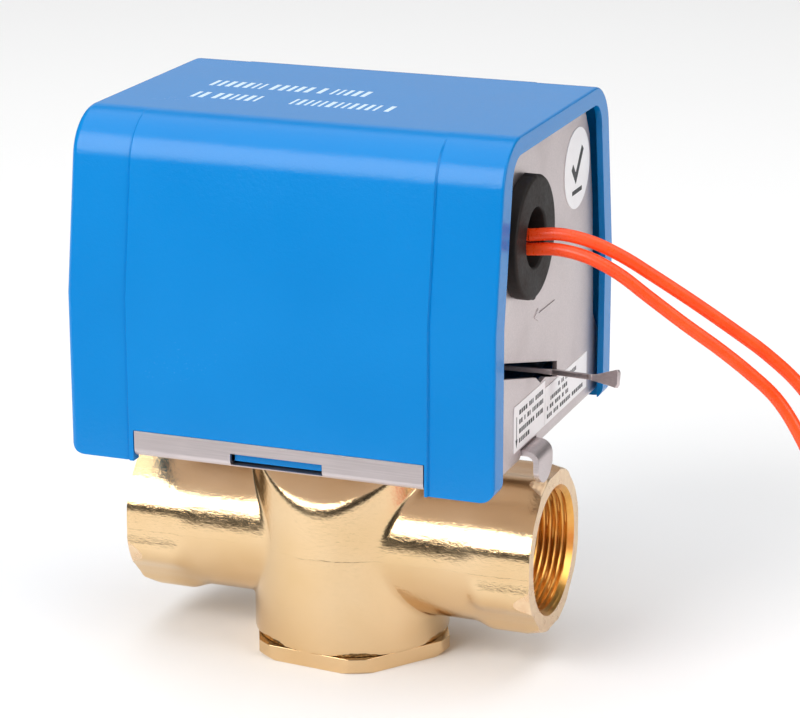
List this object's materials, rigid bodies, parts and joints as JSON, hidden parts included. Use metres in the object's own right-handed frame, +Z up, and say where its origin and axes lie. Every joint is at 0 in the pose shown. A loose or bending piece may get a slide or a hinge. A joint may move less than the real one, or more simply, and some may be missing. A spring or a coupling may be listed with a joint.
{
  "type": "motorised zone valve",
  "caption": "Brass two-way motorised zone valve with internal pipe threads, clip-on spring-return actuator under a blue cover, manual lever, release tab and free motor leads.",
  "frame": {"origin": "centre of the hexagon base cap's lower face, on the valve stem's axis", "axes": "+X along the pipe towards the end with the manual lever and label, +Z up along the stem, +Y across the pipe away from the lead side"},
  "size_m": [0.199, 0.0921, 0.1141],
  "materials": {
    "brass": "forged and satin polished, machined faces",
    "cover_blue": "satin moulded, fine spark-eroded grain",
    "stainless": "cold rolled sheet, fine brushed",
    "steel_zinc": "bright zinc plated",
    "steel_bright": "ground bright steel",
    "motor_steel": "drawn can, satin",
    "copper": "enamelled copper winding",
    "rubber_black": "matt moulded rubber",
    "nylon": "natural nylon, satin",
    "label_white": "printed film label",
    "lead_orange": "smooth extruded insulation",
    "tie_white": "nylon tie",
    "tinned_wire": "tinned copper strands"
  },
  "bodies": {
    "base": {"valve_body": "brass", "bottom_cap": "brass", "cap_oring": "rubber_black", "seat_ring": "brass", "stem_seals": "rubber_black", "stem_bushing": "brass", "return_spring": "steel_bright", "spring_post": "steel_bright", "base_plate": "stainless", "lower_gear_plate": "steel_zinc", "upper_gear_plate": "steel_zinc", "base_spacers": "steel_zinc", "plate_spacers": "steel_zinc", "plate_screws": "steel_zinc", "idler_axle": "steel_bright", "motor_gearcase": "steel_zinc", "motor_can": "motor_steel", "motor_coil": "copper", "motor_screws": "steel_zinc", "lead_block": "nylon", "lever_stud": "steel_bright", "latch_rivets": "steel_zinc", "latch_spring": "steel_bright", "cable_grommet": "rubber_black", "instruction_label": "label_white", "round_sticker": "label_white", "inner_lead_a": "lead_orange", "inner_lead_b": "lead_orange", "lead_a": "lead_orange", "lead_b": "lead_orange", "lead_coil_a": "lead_orange", "lead_coil_b": "lead_orange", "coil_tie_a": "tie_white", "coil_tie_b": "tie_white", "lead_end_a": "tinned_wire", "lead_end_b": "tinned_wire"},
    "cover": {"cover": "cover_blue"},
    "drive": {"stem": "steel_bright", "paddle_arm": "brass", "rubber_shoe": "rubber_black", "drive_hub": "nylon", "sector_gear": "steel_zinc", "drive_pin": "steel_bright", "hub_clip": "steel_zinc"},
    "idler": {"idler_gear": "nylon"},
    "motor_shaft": {"motor_pinion": "steel_bright"},
    "lever": {"manual_lever": "stainless"},
    "latch": {"release_latch": "stainless"}
  },
  "joints": [
    {"name": "cover_lift", "type": "slide", "parent": "base", "child": "cover", "axis": [0, 0, 1], "range_m": [0, 0.07]},
    {"name": "drive_turn", "type": "hinge", "parent": "base", "child": "drive", "pos_m": [0, 0, 0.057], "axis": [0, 0, -1], "range_deg": [0, 60], "stiffness_Nm_per_rad": 0.03, "springref_deg": -34.38, "deforming": ["return_spring"]},
    {"name": "idler_spin", "type": "hinge", "parent": "base", "child": "idler", "pos_m": [-0.02685, 0.0155, 0.06], "axis": [0, 0, -1], "range_deg": [-250.01, 0]},
    {"name": "motor_spin", "type": "hinge", "parent": "base", "child": "motor_shaft", "pos_m": [-0.01885, 0.00164, 0.064], "axis": [0, 0, -1], "range_deg": [0, 583.34]},
    {"name": "lever_swing", "type": "hinge", "parent": "base", "child": "lever", "pos_m": [-0.012, -0.014, 0.06518], "axis": [0, -0.2588, -0.9659], "range_deg": [0, 32.81]},
    {"name": "latch_press", "type": "slide", "parent": "base", "child": "latch", "axis": [1, 0, 0], "range_m": [-0.0026, 0], "stiffness_N_per_m": 400, "springref_m": 0.003, "deforming": ["latch_spring"]}
  ],
  "couplings": [
    {"joint": "idler_spin", "follows": "drive_turn", "ratio": -4.1667},
    {"joint": "motor_spin", "follows": "drive_turn", "ratio": 9.7222},
    {"joint": "lever_swing", "follows": "drive_turn", "ratio": 0.54667}
  ]
}
